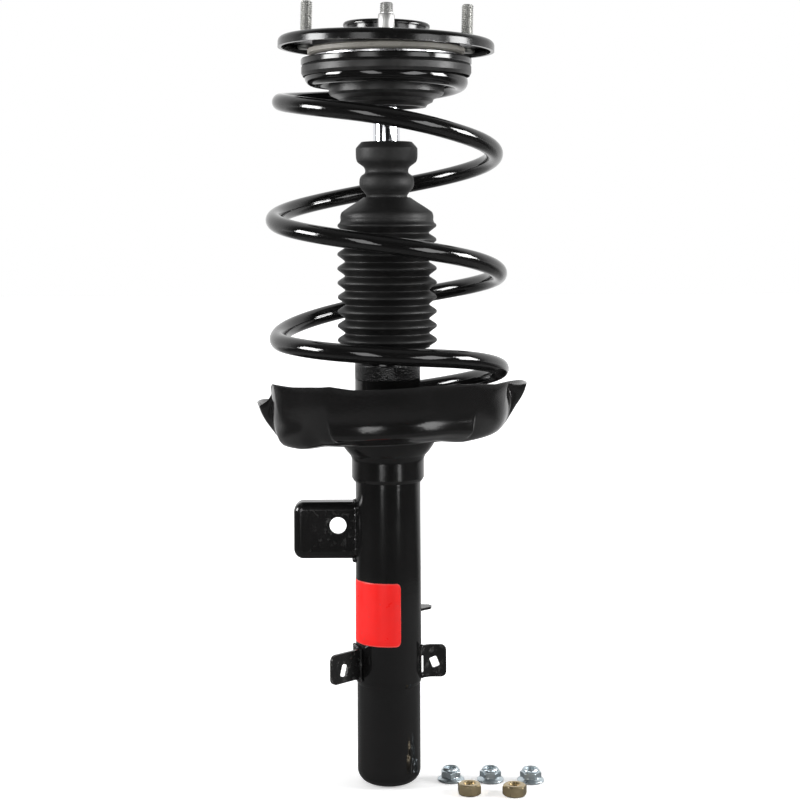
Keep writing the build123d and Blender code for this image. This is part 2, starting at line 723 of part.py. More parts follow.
neck_band_radius = 29.4
neck_band_bottom = 246.5
neck_band_top = 260.0
neck_flare_top = 286.0
with BuildPart() as seat_neck:
    with BuildSketch(Plane.XZ):
        with BuildLine():
            Polyline(
                (tube_radius + slip, neck_band_bottom - 3), (tube_radius + 0.8, neck_band_bottom - 3),
                (neck_band_radius, neck_band_bottom), (neck_band_radius, neck_band_top),
            )
            RadiusArc((neck_band_radius, neck_band_top), (neck_band_radius + 1.6, neck_band_top + 5), 8)
            RadiusArc(
                (neck_band_radius + 1.6, neck_band_top + 5), (seat_neck_radius + 2, neck_flare_top), -40
            )
            Polyline(
                (seat_neck_radius + 2, neck_flare_top), (tube_radius + slip, neck_flare_top),
                (tube_radius + slip, neck_band_bottom - 3),
            )
        make_face()
    revolve(axis=Axis.Z)
    with BuildSketch(Plane.XZ):
        Polygon(
            (tube_radius - 1, neck_band_top + 5), (neck_band_radius - 1, neck_band_top + 6),
            (seat_neck_radius - 1, neck_flare_top), (tube_radius - 1, neck_flare_top), align=None,
        )
    revolve(axis=Axis.Z, mode=Mode.SUBTRACT)
    split(bisect_by=seat_plane.offset(-slip), keep=Keep.BOTTOM)
seat_neck.part.label = "seat_neck"
export_step(seat_neck.part, "parts/seat_neck.step")

# ------------------------------------------------------------------ brackets on the tube

# anti-roll bar link bracket: a dished pressing, its flat face towards -Y
link_outer = -76.6
link_inner = -20.0
link_bottom = 180.0
link_top = 226.0
link_face = -5.0
link_depth = 17.0
link_sheet = 3.5
link_hole_x = -40.6
link_hole_height = 207.6
link_hole_radius = 6.8
with BuildPart() as link_bracket:
    with BuildSketch(Plane.XZ.offset(-link_face)):
        with Locations(((link_outer + link_inner) / 2, (link_bottom + link_top) / 2)):
            RectangleRounded(link_inner - link_outer, link_top - link_bottom, radius=8)
    extrude(amount=-link_depth)
    fillet(link_bracket.faces().sort_by(Axis.Y)[0].edges(), radius=6.5)
    offset(amount=-link_sheet, openings=link_bracket.faces().sort_by(Axis.Y)[-1])
    with BuildSketch(Plane.XZ.offset(-link_face)):
        with Locations((link_hole_x, link_hole_height)):
            Circle(link_hole_radius)
    extrude(amount=-link_sheet - 1, mode=Mode.SUBTRACT)
    with BuildSketch(Plane.XY.offset(link_bottom - 5)):
        Circle(tube_radius + slip)
    extrude(amount=link_top - link_bottom + 10, mode=Mode.SUBTRACT)
link_bracket.part.label = "link_bracket"
export_step(link_bracket.part, "parts/link_bracket.step")

ear_sheet = 2.5
ear_bottom = 84.5
ear_height = 26.0
ear_middle = ear_bottom + ear_height / 2

# wire bracket: a flat ear that leaves the tube half-way towards -Y, on a curved foot
wire_ear_length = 35.5
wire_ear_height = 23.5
half_turn = sin(radians(45))
wire_ear_middle = ear_bottom + ear_height - wire_ear_height / 2
wire_plane = Plane(
    (-20.5, -13.0, wire_ear_middle), x_dir=(-half_turn, -half_turn, 0), z_dir=(half_turn, -half_turn, 0)
)
with BuildPart() as wire_bracket:
    with BuildSketch(wire_plane) as wire_ear:
        with Locations((wire_ear_length / 2, 0)):
            Rectangle(wire_ear_length, wire_ear_height)
        fillet(wire_ear.vertices().group_by(Axis.X)[-1], radius=5)
        with Locations(Location((22.0, 2.1), -17)):
            RectangleRounded(7.4, 9.8, radius=1.6, mode=Mode.SUBTRACT)
    extrude(amount=ear_sheet / 2, both=True)
    with BuildSketch(Plane.XY.offset(ear_bottom)):
        with BuildLine():
            foot_arc = CenterArc((0, 0), tube_radius + slip + ear_sheet / 2, 178, 38)
            offset(foot_arc, amount=ear_sheet / 2)
        make_face()
    extrude(amount=ear_height)
    with BuildSketch(Plane.XY.offset(ear_bottom - 5)):
        Circle(tube_radius + slip)
    extrude(amount=ear_height + 10, mode=Mode.SUBTRACT)
wire_bracket.part.label = "wire_bracket"
export_step(wire_bracket.part, "parts/wire_bracket.step")

# hose bracket: an ear with a slight bend, welded to the tube above and below a relief slit
hose_ear_end = 46.6
with BuildPart() as hose_bracket:
    with BuildSketch(Plane.XY.offset(ear_bottom)):
        with BuildLine():
            FilletPolyline((22, -8.5), (33.5, -2.5), (hose_ear_end, -2.5), radius=3)
            offset(amount=ear_sheet, side=Side.LEFT, closed=True)
        make_face()
    extrude(amount=ear_height)
    fillet(hose_bracket.edges().filter_by(Axis.Y).group_by(Axis.X)[-1], radius=4.5)
    with BuildSketch(Plane.XZ.offset(-20)):
        with Locations(Location((37, ear_middle - 1), 22)):
            RectangleRounded(6.2, 8.7, radius=1.2)
        with Locations((27.2, ear_middle - 2)):
            SlotOverall(14, 1.4, rotation=90)
    extrude(amount=40, mode=Mode.SUBTRACT)
    with BuildSketch(Plane.XY.offset(ear_bottom - 5)):
        Circle(tube_radius + slip)
    extrude(amount=ear_height + 10, mode=Mode.SUBTRACT)
hose_bracket.part.label = "hose_bracket"
export_step(hose_bracket.part, "parts/hose_bracket.step")

# a thin tab at the back that stops the tube turning in the knuckle
tab_height = 136.8
tab_sheet = 2.0
tab_direction = radians(35)
tab_plane = Plane(
    (0, 0, tab_height), x_dir=(cos(tab_direction), sin(tab_direction), 0), z_dir=(0, 0, 1)
)
with BuildPart() as stop_tab:
    with BuildSketch(tab_plane):
        Polygon((20, -8), (38, -6), (42, -2), (42, 2), (38, 6), (20, 8), align=None)
    extrude(amount=-tab_sheet)
    with BuildSketch(Plane.XY.offset(tab_height - 5)):
        Circle(tube_radius + slip)
    extrude(amount=10, mode=Mode.SUBTRACT)
stop_tab.part.label = "stop_tab"
export_step(stop_tab.part, "parts/stop_tab.step")

# blank sticker wrapped round the tube by the -X side, from just right of -Y to the back
label_bottom = 114.0
label_height = 51.0
label_start = 130.0
label_arc = 161.7
label_skin = 0.2
label_edge = Vector(cos(radians(label_start)), sin(radians(label_start)), 0)
with BuildPart() as label:
    with BuildSketch(Plane((0, 0, 0), x_dir=label_edge, z_dir=label_edge.cross(Vector(0, 0, 1)))):
        with Locations((tube_radius + slip, label_bottom)):
            Rectangle(label_skin, label_height, align=(Align.MIN, Align.MIN))
    revolve(axis=Axis.Z, revolution_arc=label_arc)
label.part.label = "label"
export_step(label.part, "parts/label.step")

# ------------------------------------------------------------------ loose nuts, standing beside the strut

flange_nut_places = ((50, 0), (82, -1), (114.5, -3))
flange_nut_turns = (0, 26, 20)
flange_nut_height = 10.5
flange_radius = 10.9
flange_nut_hex = 15.0
with BuildPart() as flange_nut:
    with BuildSketch():
        RegularPolygon(radius=flange_nut_hex / 2, side_count=6, major_radius=False)
    extrude(amount=flange_nut_height)
    with BuildSketch(Plane.XZ):
        with Locations((0, flange_nut_height)):
            Polygon((7.2, 0), (12, 0), (12, -3.5), (8.9, -1.3), align=None)
    revolve(axis=Axis.Z, mode=Mode.SUBTRACT)
    with BuildSketch(Plane.XZ):
        Polygon(
            (0, 0), (10.3, 0), (flange_radius, 0.6), (flange_radius, 1.4), (8.2, 3.2), (0, 3.2), align=None
        )
    revolve(axis=Axis.Z)
    with BuildSketch():
        Circle(m10_tapping_radius)
    extrude(amount=flange_nut_height, mode=Mode.SUBTRACT)
    chamfer(flange_nut.edges().filter_by(GeomType.CIRCLE).group_by(SortBy.RADIUS)[0], length=0.9)

with BuildPart() as mount_flange_nuts:
    for place, turn in zip(flange_nut_places, flange_nut_turns):
        with Locations(Location((place[0], place[1], 0), (0, 0, turn))):
            add(flange_nut.part)
mount_flange_nuts.part.label = "mount_flange_nuts"
export_step(mount_flange_nuts.part, "parts/mount_flange_nuts.step")

plain_nut_places = ((63.5, -33), (99, -36))
plain_nut_turns = (6, 38)
plain_nut_height = 8.4
plain_nut_hex = 17.0
with BuildPart() as plain_nut:
    with BuildSketch():
        RegularPolygon(radius=plain_nut_hex / 2, side_count=6, major_radius=False)
    extrude(amount=plain_nut_height)
    with BuildSketch(Plane.XZ):
        Polygon((8.2, 0), (10.5, 0), (10.5, 1.4), align=None)
        with Locations((0, plain_nut_height)):
            Polygon((8.2, 0), (10.5, 0), (10.5, -1.4), align=None)
    revolve(axis=Axis.Z, mode=Mode.SUBTRACT)
    with BuildSketch():
        Circle(m10_tapping_radius)
    extrude(amount=plain_nut_height, mode=Mode.SUBTRACT)
    chamfer(plain_nut.edges().filter_by(GeomType.CIRCLE).group_by(SortBy.RADIUS)[0], length=0.8)

with BuildPart() as link_nuts:
    for place, turn in zip(plain_nut_places, plain_nut_turns):
        with Locations(Location((place[0], place[1], 0), (0, 0, turn))):
            add(plain_nut.part)
link_nuts.part.label = "link_nuts"
export_step(link_nuts.part, "parts/link_nuts.step")
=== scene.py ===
import json
from math import cos, pi, radians, sin, sqrt

import bpy
import numpy as np
from mathutils import Matrix, Vector, noise


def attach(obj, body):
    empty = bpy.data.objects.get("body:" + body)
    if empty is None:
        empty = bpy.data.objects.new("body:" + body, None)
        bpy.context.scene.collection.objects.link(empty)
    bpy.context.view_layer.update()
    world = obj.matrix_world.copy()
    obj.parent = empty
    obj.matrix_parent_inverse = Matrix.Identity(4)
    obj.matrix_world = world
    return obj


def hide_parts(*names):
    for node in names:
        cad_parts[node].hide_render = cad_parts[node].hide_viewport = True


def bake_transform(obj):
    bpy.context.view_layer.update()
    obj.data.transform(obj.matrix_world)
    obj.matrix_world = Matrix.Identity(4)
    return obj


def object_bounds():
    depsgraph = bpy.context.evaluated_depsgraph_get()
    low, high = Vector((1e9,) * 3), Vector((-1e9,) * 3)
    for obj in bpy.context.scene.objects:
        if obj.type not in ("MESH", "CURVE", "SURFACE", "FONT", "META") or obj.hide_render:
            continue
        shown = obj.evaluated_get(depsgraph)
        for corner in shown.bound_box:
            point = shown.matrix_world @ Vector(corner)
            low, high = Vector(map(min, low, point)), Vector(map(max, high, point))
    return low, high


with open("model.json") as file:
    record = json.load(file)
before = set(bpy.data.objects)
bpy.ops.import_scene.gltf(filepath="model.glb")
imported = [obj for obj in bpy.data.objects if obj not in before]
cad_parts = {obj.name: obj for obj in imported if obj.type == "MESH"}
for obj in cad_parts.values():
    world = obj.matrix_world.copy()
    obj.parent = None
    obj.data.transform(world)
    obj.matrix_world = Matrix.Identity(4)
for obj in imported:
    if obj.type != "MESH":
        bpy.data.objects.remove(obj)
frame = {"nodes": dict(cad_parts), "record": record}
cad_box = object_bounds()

nodes = frame["nodes"]

# the CAD frame is in metres and the shapes below are given in millimetres
MM = 0.001
TUBE_RADIUS = 26.5
SEAT_HEIGHT = 278.5
SEAT_TILT = -3.0
PLATE_HEIGHT = 601.5
PLATE_TILT = 1.6

# ------------------------------------------------------------------ node-tree helpers


class Tree:
    """A material's node tree, with short calls for the nodes used below."""

    def __init__(self, name):
        self.material = bpy.data.materials.new(name)
        self.material.use_nodes = True
        self.tree = self.material.node_tree
        self.bsdf = self.tree.nodes["Principled BSDF"]
        self.place = self.tree.nodes.new("ShaderNodeTexCoord").outputs["Object"]

    def node(self, kind, **settings):
        made = self.tree.nodes.new(kind)
        for key, value in settings.items():
            setattr(made, key, value)
        return made

    def put(self, value, socket):
        if isinstance(value, bpy.types.NodeSocket):
            self.tree.links.new(value, socket)
        else:
            socket.default_value = value

    def noise(self, scale, detail=4.0, roughness=0.55, stretch=(1, 1, 1), distortion=0.0):
        place = self.place
        if stretch != (1, 1, 1):
            mapping = self.node("ShaderNodeMapping")
            mapping.inputs["Scale"].default_value = stretch
            self.tree.links.new(place, mapping.inputs["Vector"])
            place = mapping.outputs["Vector"]
        made = self.node("ShaderNodeTexNoise")
        self.tree.links.new(place, made.inputs["Vector"])
        made.inputs["Scale"].default_value = scale
        made.inputs["Detail"].default_value = detail
        made.inputs["Roughness"].default_value = roughness
        made.inputs["Distortion"].default_value = distortion
        return made.outputs["Fac"]

    def cells(self, scale, feature="F1"):
        made = self.node("ShaderNodeTexVoronoi", feature=feature)
        self.tree.links.new(self.place, made.inputs["Vector"])
        made.inputs["Scale"].default_value = scale
        return made.outputs["Distance"]

    def ramp(self, value, low, high, first=0.0, last=1.0):
        """value between low and high, mapped to first and last and held there."""
        made = self.node("ShaderNodeMapRange")
        self.put(value, made.inputs["Value"])
        made.inputs["From Min"].default_value = low
        made.inputs["From Max"].default_value = high
        made.inputs["To Min"].default_value = first
        made.inputs["To Max"].default_value = last
        return made.outputs["Result"]

    def math(self, operation, a, b=0.0):
        made = self.node("ShaderNodeMath", operation=operation)
        self.put(a, made.inputs[0])
        self.put(b, made.inputs[1])
        return made.outputs[0]

    def mix(self, share, first, last):
        made = self.node("ShaderNodeMix", data_type="RGBA")
        self.put(share, made.inputs["Factor"])
        for value, socket in ((first, made.inputs["A"]), (last, made.inputs["B"])):
            self.put(value if isinstance(value, bpy.types.NodeSocket) else (*value, 1.0), socket)
        return made.outputs["Result"]

    def edges(self, low=0.53, high=0.62):
        """1 on convex edges, from the mesh's pointiness."""
        return self.ramp(self.node("ShaderNodeNewGeometry").outputs["Pointiness"], low, high)

    def height(self, axis="Z"):
        made = self.node("ShaderNodeSeparateXYZ")
        self.tree.links.new(self.place, made.inputs["Vector"])
        return made.outputs[axis]

    def bump(self, value, depth, strength=1.0, under=None):
        made = self.node("ShaderNodeBump")
        self.put(value, made.inputs["Height"])
        made.inputs["Distance"].default_value = depth
        made.inputs["Strength"].default_value = strength
        if under is not None:
            self.tree.links.new(under, made.inputs["Normal"])
        return made.outputs["Normal"]

    def finish(self, color, roughness, metallic=0.0, normal=None, specular=0.5):
        """Sets the surface and returns the material."""
        self.put((*color, 1.0) if isinstance(color, tuple) else color, self.bsdf.inputs["Base Color"])
        self.put(roughness, self.bsdf.inputs["Roughness"])
        self.put(metallic, self.bsdf.inputs["Metallic"])
        self.bsdf.inputs["Specular IOR Level"].default_value = specular
        if normal is not None:
            self.tree.links.new(normal, self.bsdf.inputs["Normal"])
        return self.material


# ------------------------------------------------------------------ materials


def gloss_paint(name, tone=0.004, peel=0.00006, dust=0.6, scuff=1.0, gloss=0.12, specular=0.35):
    """Gloss black dip paint: orange peel, fine dust, a few pale scratches and rubbed edges."""
    t = Tree(name)
    peel_noise = t.noise(420, detail=2.0)
    sag = t.noise(60, detail=3.0)
    grit = t.noise(2600, detail=1.0)
    specks = t.math("MULTIPLY", t.ramp(t.cells(900), 0.0, 0.16, 1.0, 0.0), t.ramp(t.noise(45), 0.56, 0.7))
    strokes = t.noise(95, detail=8.0, roughness=0.7, stretch=(1.0, 1.0, 0.22), distortion=2.5)
    scratches = t.math("MULTIPLY", t.ramp(strokes, 0.70, 0.74), t.ramp(t.noise(22, detail=2.0), 0.52, 0.66))
    rub = t.math("MULTIPLY", t.edges(0.56, 0.66), t.ramp(t.noise(210, detail=6.0), 0.56, 0.66))
    scratches = t.math("MULTIPLY", scratches, 0.5 * scuff)
    wear = t.math("MAXIMUM", scratches, t.math("MULTIPLY", rub, 0.35 * scuff))
    base = t.mix(t.noise(14), (tone, tone, tone * 1.04), (tone * 1.9, tone * 1.85, tone * 1.8))
    color = t.mix(t.math("MULTIPLY", specks, 0.5 * dust), base, (0.16, 0.155, 0.145))
    color = t.mix(wear, color, (0.2, 0.2, 0.195))
    rough = t.ramp(t.noise(30, detail=5.0), 0.3, 0.7, gloss, gloss + 0.09)
    rough = t.math("ADD", rough, t.math("MULTIPLY", wear, 0.3))
    normal = t.bump(grit, 0.000012, 0.4, t.bump(peel_noise, peel, 0.6, t.bump(sag, 0.0004, 0.35)))
    return t.finish(color, rough, normal=normal, specular=specular)


def tube_paint():
    """The tube's paint, with a few pale vertical scratches, chips and a rough rolled band near the top."""
    t = Tree("tube_paint")
    height = t.height()
    band = t.math("MULTIPLY", t.ramp(height, 0.3255, 0.3275), t.ramp(height, 0.336, 0.338, 1.0, 0.0))
    knurl = t.cells(900)
    scratches = t.math(
        "MULTIPLY",
        t.ramp(t.noise(210, detail=6.0, stretch=(1.0, 1.0, 0.08), distortion=0.6), 0.66, 0.72),
        t.ramp(t.noise(16, detail=3.0), 0.5, 0.62),
    )
    flakes = t.ramp(t.noise(240, detail=8.0, roughness=0.75), 0.68, 0.71)
    chips = t.math("MULTIPLY", flakes, t.ramp(t.noise(28), 0.55, 0.66))
    wear = t.math("MAXIMUM", t.math("MULTIPLY", scratches, 0.55), t.math("MULTIPLY", chips, 0.5))
    base = t.mix(t.noise(12), (0.004, 0.004, 0.0042), (0.008, 0.0079, 0.0077))
    color = t.mix(wear, base, (0.22, 0.22, 0.215))
    rough = t.ramp(t.noise(24, detail=6.0), 0.3, 0.7, 0.06, 0.14)
    rough = t.math("ADD", rough, t.math("MULTIPLY", wear, 0.3))
    rough = t.math("ADD", rough, t.math("MULTIPLY", band, 0.12))
    normal = t.bump(t.noise(360, detail=2.0), 0.00005, 0.6, t.bump(t.noise(40, detail=3.0), 0.0004, 0.4))
    normal = t.bump(t.math("MULTIPLY", knurl, band), 0.0014, 1.0, normal)
    return t.finish(color, rough, normal=normal, specular=0.35)


def rubber(name, tone, grain, rough_low, rough_high, dust=0.3, depth=0.00012):
    """Moulded rubber: fine grain, cloudy sheen and a little pale bloom."""
    t = Tree(name)
    bloom = t.math("MULTIPLY", t.ramp(t.noise(70, detail=7.0, roughness=0.65), 0.5, 0.75), dust)
    base = t.mix(t.noise(22, detail=3.0), (tone, tone, tone), (tone * 1.6, tone * 1.57, tone * 1.55))
    color = t.mix(t.math("MULTIPLY", bloom, 0.35), base, (0.1, 0.098, 0.095))
    color = t.mix(t.math("MULTIPLY", t.edges(0.53, 0.7), 0.25), color, (0.09, 0.09, 0.088))
    rough = t.ramp(t.noise(40, detail=5.0), 0.3, 0.7, rough_low, rough_high)
    normal = t.bump(t.noise(grain, detail=2.0), depth, 0.5, t.bump(t.noise(130, detail=3.0), 0.0003, 0.35))
    return t.finish(color, rough, normal=normal, specular=0.25)


def steel(name, dark, light, rough_low=0.2, rough_high=0.38, stain=(0.2, 0.19, 0.17), grain=900):
    """Bare or plated steel: machining lines, cloudy tint and stains."""
    t = Tree(name)
    cloud = t.noise(160, detail=5.0)
    color = t.mix(cloud, dark, light)
    color = t.mix(t.math("MULTIPLY", t.ramp(t.noise(340, detail=6.0), 0.58, 0.75), 0.45), color, stain)
    rough = t.ramp(t.noise(260, detail=5.0), 0.3, 0.7, rough_low, rough_high)
    lines = t.noise(grain, detail=2.0, stretch=(1, 1, 0.15))
    normal = t.bump(lines, 0.00008, 0.5)
    return t.finish(color, rough, metallic=1.0, normal=normal)


def chrome():
    """The rod's chrome, with fine grinding lines and patches of oil."""
    t = Tree("rod_chrome")
    height = t.height()
    oil = t.math("MULTIPLY", t.ramp(t.noise(90, detail=6.0, stretch=(1, 1, 0.3)), 0.5, 0.75), 0.4)
    color = t.mix(oil, (0.78, 0.79, 0.82), (0.5, 0.5, 0.5))
    rough = t.ramp(t.noise(50, detail=5.0), 0.3, 0.7, 0.05, 0.13)
    rough = t.math("ADD", rough, t.math("MULTIPLY", oil, 0.12))
    normal = t.bump(t.math("SINE", t.math("MULTIPLY", height, 26000.0)), 0.000004, 0.4)
    return t.finish(color, rough, metallic=1.0, normal=normal)


def bearing_plastic():
    """Speckled tan-grey moulded plastic with grime in its low places."""
    t = Tree("bearing_plastic")
    speckle = t.ramp(t.noise(1400, detail=3.0), 0.45, 0.7)
    grime = t.ramp(t.noise(55, detail=6.0), 0.45, 0.75)
    color = t.mix(speckle, (0.30, 0.285, 0.255), (0.40, 0.385, 0.35))
    color = t.mix(t.math("MULTIPLY", grime, 0.6), color, (0.12, 0.11, 0.095))
    rough = t.ramp(t.noise(200, detail=3.0), 0.3, 0.7, 0.42, 0.6)
    return t.finish(color, rough, normal=t.bump(t.noise(800, detail=3.0), 0.0001, 0.5), specular=0.4)


def red_vinyl():
    """Red sticker film, a little faded, with rubbed edges and small scuffs."""
    t = Tree("red_vinyl")
    fade = t.noise(30, detail=4.0)
    color = t.mix(fade, (0.84, 0.006, 0.005), (0.94, 0.012, 0.009))
    color = t.mix(t.math("MULTIPLY", t.edges(0.52, 0.6), 0.4), color, (0.75, 0.25, 0.22))
    scuffs = t.ramp(t.noise(300, detail=7.0), 0.64, 0.72)
    color = t.mix(t.math("MULTIPLY", scuffs, 0.25), color, (0.45, 0.08, 0.07))
    rough = t.ramp(t.noise(70, detail=4.0), 0.3, 0.7, 0.26, 0.4)
    normal = t.bump(t.noise(150, detail=3.0), 0.0002, 0.5, t.bump(t.noise(1200, detail=2.0), 0.00002, 0.5))
    return t.finish(color, rough, normal=normal, specular=0.25)


paint = gloss_paint("gloss_paint")
seat_paint = gloss_paint("seat_paint", peel=0.00009, dust=0.8, gloss=0.11, specular=0.48)
spring_paint = gloss_paint("spring_paint", peel=0.00009, dust=0.9, scuff=0.5, gloss=0.04, specular=0.45)
plate_paint = gloss_paint("plate_paint", peel=0.00005, dust=1.0, gloss=0.13, specular=0.3)
boot_rubber = rubber("boot_rubber", 0.005, 1500, 0.42, 0.58)
foam = rubber("stop_foam", 0.008, 1100, 0.50, 0.66, depth=0.0002)
mount_rubber = rubber("mount_rubber", 0.005, 900, 0.30, 0.48, dust=0.4)
phosphate = steel(
    "phosphate_steel", (0.36, 0.36, 0.35), (0.52, 0.52, 0.50), 0.5, 0.62, stain=(0.2, 0.2, 0.19)
)
bright = steel("bright_steel", (0.36, 0.36, 0.355), (0.46, 0.46, 0.45), 0.46, 0.58)
plain = steel("plain_steel", (0.4, 0.4, 0.41), (0.58, 0.58, 0.59))
iron = steel("sintered_iron", (0.16, 0.16, 0.165), (0.28, 0.28, 0.28), 0.45, 0.6)
bronze = steel("bush_bronze", (0.5, 0.33, 0.16), (0.66, 0.48, 0.27))
blue_zinc = steel(
    "blue_zinc", (0.44, 0.53, 0.58), (0.62, 0.67, 0.69), 0.26, 0.38, stain=(0.34, 0.42, 0.46), grain=300
)
yellow_zinc = steel(
    "yellow_zinc", (0.36, 0.28, 0.16), (0.56, 0.47, 0.30), 0.26, 0.40, stain=(0.44, 0.28, 0.22), grain=300
)
band_plastic = rubber("piston_band", 0.12, 900, 0.4, 0.55)
rod_chrome = chrome()
grey_plastic = bearing_plastic()
vinyl = red_vinyl()
barrel_paint = tube_paint()

finishes = {
    "black_paint": paint, "spring_coating": spring_paint, "bearing_plastic": grey_plastic,
    "black_rubber": mount_rubber, "boot_rubber": boot_rubber, "stop_foam": foam, "chrome_rod": rod_chrome,
    "plain_steel": plain, "sintered_iron": iron, "bush_bronze": bronze, "piston_band": band_plastic,
    "phosphate_steel": phosphate, "bright_steel": bright, "red_label": vinyl, "blue_zinc": blue_zinc,
    "yellow_zinc": yellow_zinc,
}
node_slots = {row["node"]: row["material_slot"] for row in frame["record"]["subparts"]}
special = {"lower_spring_seat": seat_paint, "mount_plate": plate_paint, "strut_tube": barrel_paint}
for name, node in nodes.items():
    node.data.materials.clear()
    node.data.materials.append(special.get(name, finishes[node_slots[name]]))

# ------------------------------------------------------------------ mesh helpers


def new_piece(name, vertices, faces, material, body=None, smooth=True):
    mesh = bpy.data.meshes.new(name)
    mesh.from_pydata([tuple(v) for v in vertices], [], faces)
    mesh.validate()
    if smooth:
        mesh.shade_smooth()
    mesh.materials.append(material)
    piece = bpy.data.objects.new(name, mesh)
    bpy.context.scene.collection.objects.link(piece)
    if body:
        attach(piece, body)
    return piece


def sharpen(piece, angle=32):
    """Keeps edges sharper than `angle` crisp under smooth shading."""
    piece.data.set_sharp_from_angle(angle=radians(angle))
    return piece


def lathe(profile, steps=160, wobble=None):
    """A surface of revolution about Z from a closed loop of (radius, height) points, in millimetres."""
    count = len(profile)
    vertices, faces = [], []
    for step in range(steps):
        turn = 2 * pi * step / steps
        for radius, height in profile:
            reach = radius + (wobble(turn, radius, height) if wobble else 0.0)
            vertices.append((reach * cos(turn) * MM, reach * sin(turn) * MM, height * MM))
    for step in range(steps):
        here, there = step * count, (step + 1) % steps * count
        for i in range(count):
            j = (i + 1) % count
            faces.append((here + i, there + i, there + j, here + j))
    return vertices, faces


def smooth_line(points, per_span=4):
    """A Catmull-Rom line through the points."""
    def between(a, b, c, d, t):
        square, cube = 2 * a - 5 * b + 4 * c - d, 3 * b - a - 3 * c + d
        return 0.5 * (2 * b + (c - a) * t + square * t * t + cube * t**3)

    out = []
    last = len(points) - 1
    for i in range(last):
        near_four = points[max(i - 1, 0)], points[i], points[i + 1], points[min(i + 2, last)]
        for k in range(per_span):
            out.append(tuple(between(*values, k / per_span) for values in zip(*near_four)))
    out.append(points[-1])
    return out


def set_weights(piece):
    """Bakes the piece's transform into its mesh."""
    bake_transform(piece)


def share(value, low, high):
    """0 below `low`, 1 above `high` and straight between them."""
    return max(0.0, min(1.0, (value - low) / (high - low)))


# ------------------------------------------------------------------ coil spring

# the wire's centre line from its top end to its bottom end: (angle, radius, height)
coil_stations = (
    (100, 59.3, 570.2), (180, 59.3, 570.2), (270, 59.3, 569.2), (360, 59.3, 566.5), (450, 70.5, 560.5),
    (540, 85.3, 551), (585, 86, 543), (630, 86.8, 533.6), (675, 87, 519.8), (720, 87.4, 507),
    (810, 89.8, 482), (900, 91.2, 456), (990, 91, 435.6), (1035, 90.6, 424.1), (1080, 90.2, 410),
    (1170, 88.8, 385), (1260, 88.4, 359.8), (1305, 89.3, 355.2), (1350, 90.2, 351.4), (1395, 90.8, 345.6),
    (1440, 91.4, 333), (1500, 90, 313), (1545, 86.5, 301.5), (1590, 82.5, 293.2), (1635, 80, 289.4),
    (1700, 79.5, 292.8),
)
wire_radius = 7.1


def coil_centre(angle):
    """The wire's centre at `angle`, on a smooth curve through the stations."""
    last = len(coil_stations) - 1
    low = max(i for i in range(last) if coil_stations[i][0] <= angle)
    span = coil_stations[low + 1][0] - coil_stations[low][0]
    t = (angle - coil_stations[low][0]) / span

    def value(column):
        def slope(i):
            before, after = coil_stations[max(i - 1, 0)], coil_stations[min(i + 1, last)]
            return (after[column] - before[column]) / (after[0] - before[0]) * span

        start, end = coil_stations[low][column], coil_stations[low + 1][column]
        return (
            start * (2 * t**3 - 3 * t**2 + 1) + end * (3 * t**2 - 2 * t**3)
            + slope(low) * (t**3 - 2 * t**2 + t) + slope(low + 1) * (t**3 - t**2)
        )

    radius, height = value(1), value(2)
    return Vector((radius * cos(radians(angle)), radius * sin(radians(angle)), height)) * MM


def build_coil():
    """The wire, with cropped ends; each ring's share of the stroke is worked out but not put on the mesh."""
    sides, stride = 28, 2.5
    held_top, held_bottom = 400.0, 1560.0
    angles = [float(a) for a in np.arange(coil_stations[0][0], coil_stations[-1][0] + 0.01, stride)]
    centres = [coil_centre(a) for a in angles]
    first = (centres[1] - centres[0]).normalized()
    last = (centres[-1] - centres[-2]).normalized()
    # each end is chamfered: a smaller ring stands just past the last full one
    full, small = wire_radius * 0.995 * MM, wire_radius * 0.87 * MM
    rings = [(centres[0] - first * 0.0009, small, 0)]
    rings += [(centre, full, i) for i, centre in enumerate(centres)]
    rings.append((centres[-1] + last * 0.0009, small, len(angles) - 1))
    vertices, faces, weights = [], [], []
    for centre, radius, i in rings:
        along = (centres[min(i + 1, len(angles) - 1)] - centres[max(i - 1, 0)]).normalized()
        out = Vector((cos(radians(angles[i])), sin(radians(angles[i])), 0))
        out = (out - along * out.dot(along)).normalized()
        side = along.cross(out)
        for k in range(sides):
            turn = 2 * pi * k / sides
            vertices.append(centre + (out * cos(turn) + side * sin(turn)) * radius)
            weights.append(1 - share(angles[i], held_top, held_bottom))
    for i in range(len(rings) - 1):
        for k in range(sides):
            j = (k + 1) % sides
            faces.append((i * sides + k, i * sides + j, (i + 1) * sides + j, (i + 1) * sides + k))
    faces.append(tuple(reversed(range(sides))))
    tail = (len(rings) - 1) * sides
    faces.append(tuple(range(tail, tail + sides)))
    coil = new_piece("coil_wire", vertices, faces, spring_paint)
    sharpen(coil, 40)
    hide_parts("coil_spring")
    set_weights(coil)


build_coil()

# ------------------------------------------------------------------ bump stop and dust boot


